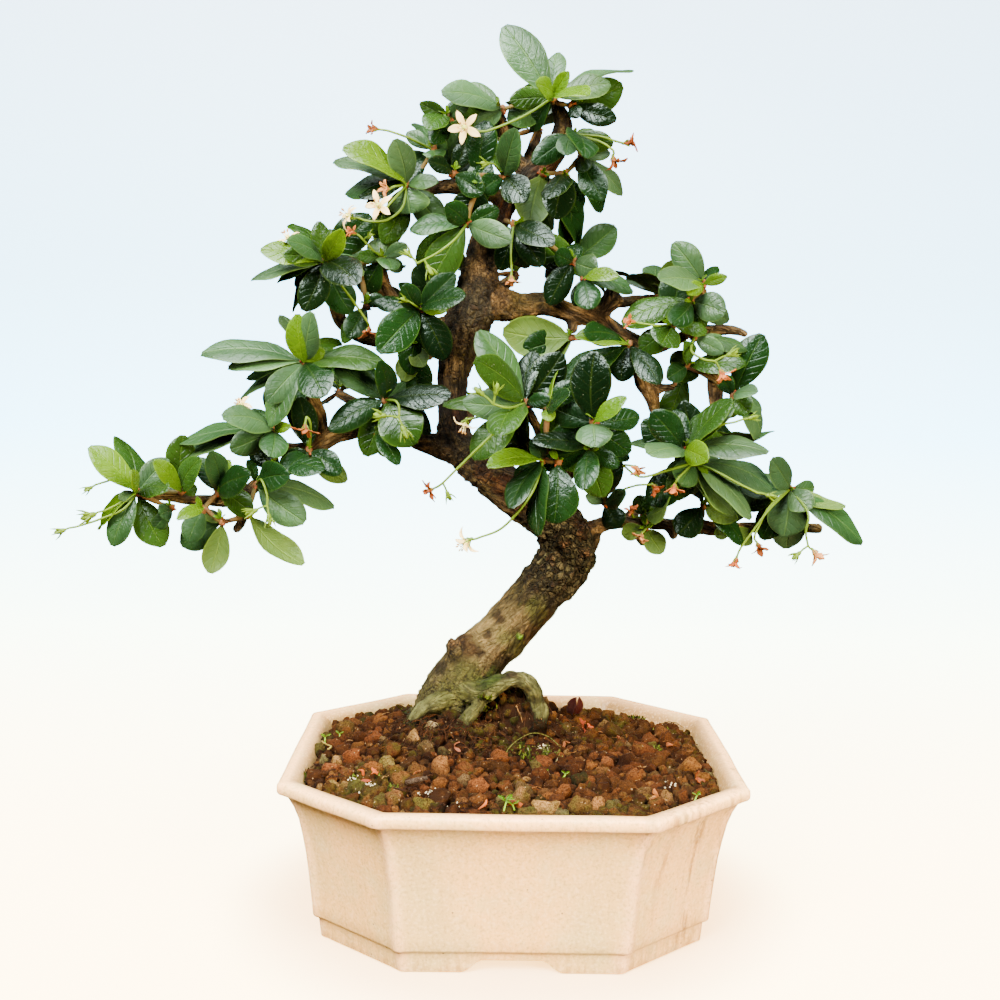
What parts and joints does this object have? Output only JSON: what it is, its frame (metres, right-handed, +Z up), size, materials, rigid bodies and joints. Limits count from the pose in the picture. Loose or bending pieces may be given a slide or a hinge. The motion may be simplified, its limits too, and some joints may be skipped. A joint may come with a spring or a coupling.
{
  "type": "potted bonsai tree",
  "caption": "Flowering Fukien tea bonsai with a bent trunk, spreading leafy sprays and small white flowers, standing in granular soil in an eight-sided glazed pot.",
  "frame": {"origin": "middle of the underside of the whole plant's box, on the surface that the pot stands on", "axes": "+Z up, +X to the viewer's right in the picture, +Y away from the viewer"},
  "size_m": [0.32, 0.1586, 0.3538],
  "materials": {
    "glaze": "pale beige glaze, satin to gloss",
    "soil": "matte baked-clay granules",
    "bark": "rough grey-brown bark",
    "leaf": "thick glossy dark green leaf",
    "petal": "soft cream-white petal",
    "wilted_petal": "dry curled petal"
  },
  "bodies": {
    "root": {"pot": "glaze", "soil": "soil", "trunk": "bark", "spray_left_tip": "leaf", "spray_left_mid": "leaf", "spray_left_inner": "leaf", "spray_fan": "leaf", "spray_inner": "leaf", "spray_upper_left": "leaf", "spray_front_left": "leaf", "spray_crown_left": "leaf", "spray_crown_mid": "leaf", "spray_crown_top": "leaf", "spray_crown_right": "leaf", "spray_crown_low_right": "leaf", "spray_front_centre": "leaf", "spray_front_right": "leaf", "spray_right_upper": "leaf", "spray_right_mid": "leaf", "spray_right_outer": "leaf", "spray_right_low": "leaf", "spray_right_tip": "leaf", "spray_right_under": "leaf", "spray_knuckle_right": "leaf", "spray_back_low": "leaf", "spray_back_left": "leaf", "spray_back_mid": "leaf", "spray_back_right": "leaf", "spray_back_low_right": "leaf", "spray_back_crown": "leaf", "spray_back_upper_left": "leaf", "flower_white_1": "petal", "flower_white_2": "petal", "flower_white_3": "petal", "flower_wilted_4": "wilted_petal", "flower_wilted_5": "wilted_petal", "flower_wilted_6": "wilted_petal", "flower_wilted_7": "wilted_petal", "flower_white_8": "petal", "flower_white_9": "petal", "flower_wilted_10": "wilted_petal", "flower_wilted_11": "wilted_petal", "flower_white_12": "petal", "flower_white_13": "petal", "flower_wilted_14": "wilted_petal", "flower_wilted_15": "wilted_petal", "flower_wilted_16": "wilted_petal", "flower_wilted_17": "wilted_petal", "flower_wilted_18": "wilted_petal", "flower_wilted_19": "wilted_petal", "flower_wilted_20": "wilted_petal", "flower_wilted_21": "wilted_petal", "flower_wilted_22": "wilted_petal", "flower_wilted_23": "wilted_petal", "flower_wilted_24": "wilted_petal", "flower_wilted_25": "wilted_petal", "flower_wilted_26": "wilted_petal"}
  },
  "joints": []
}
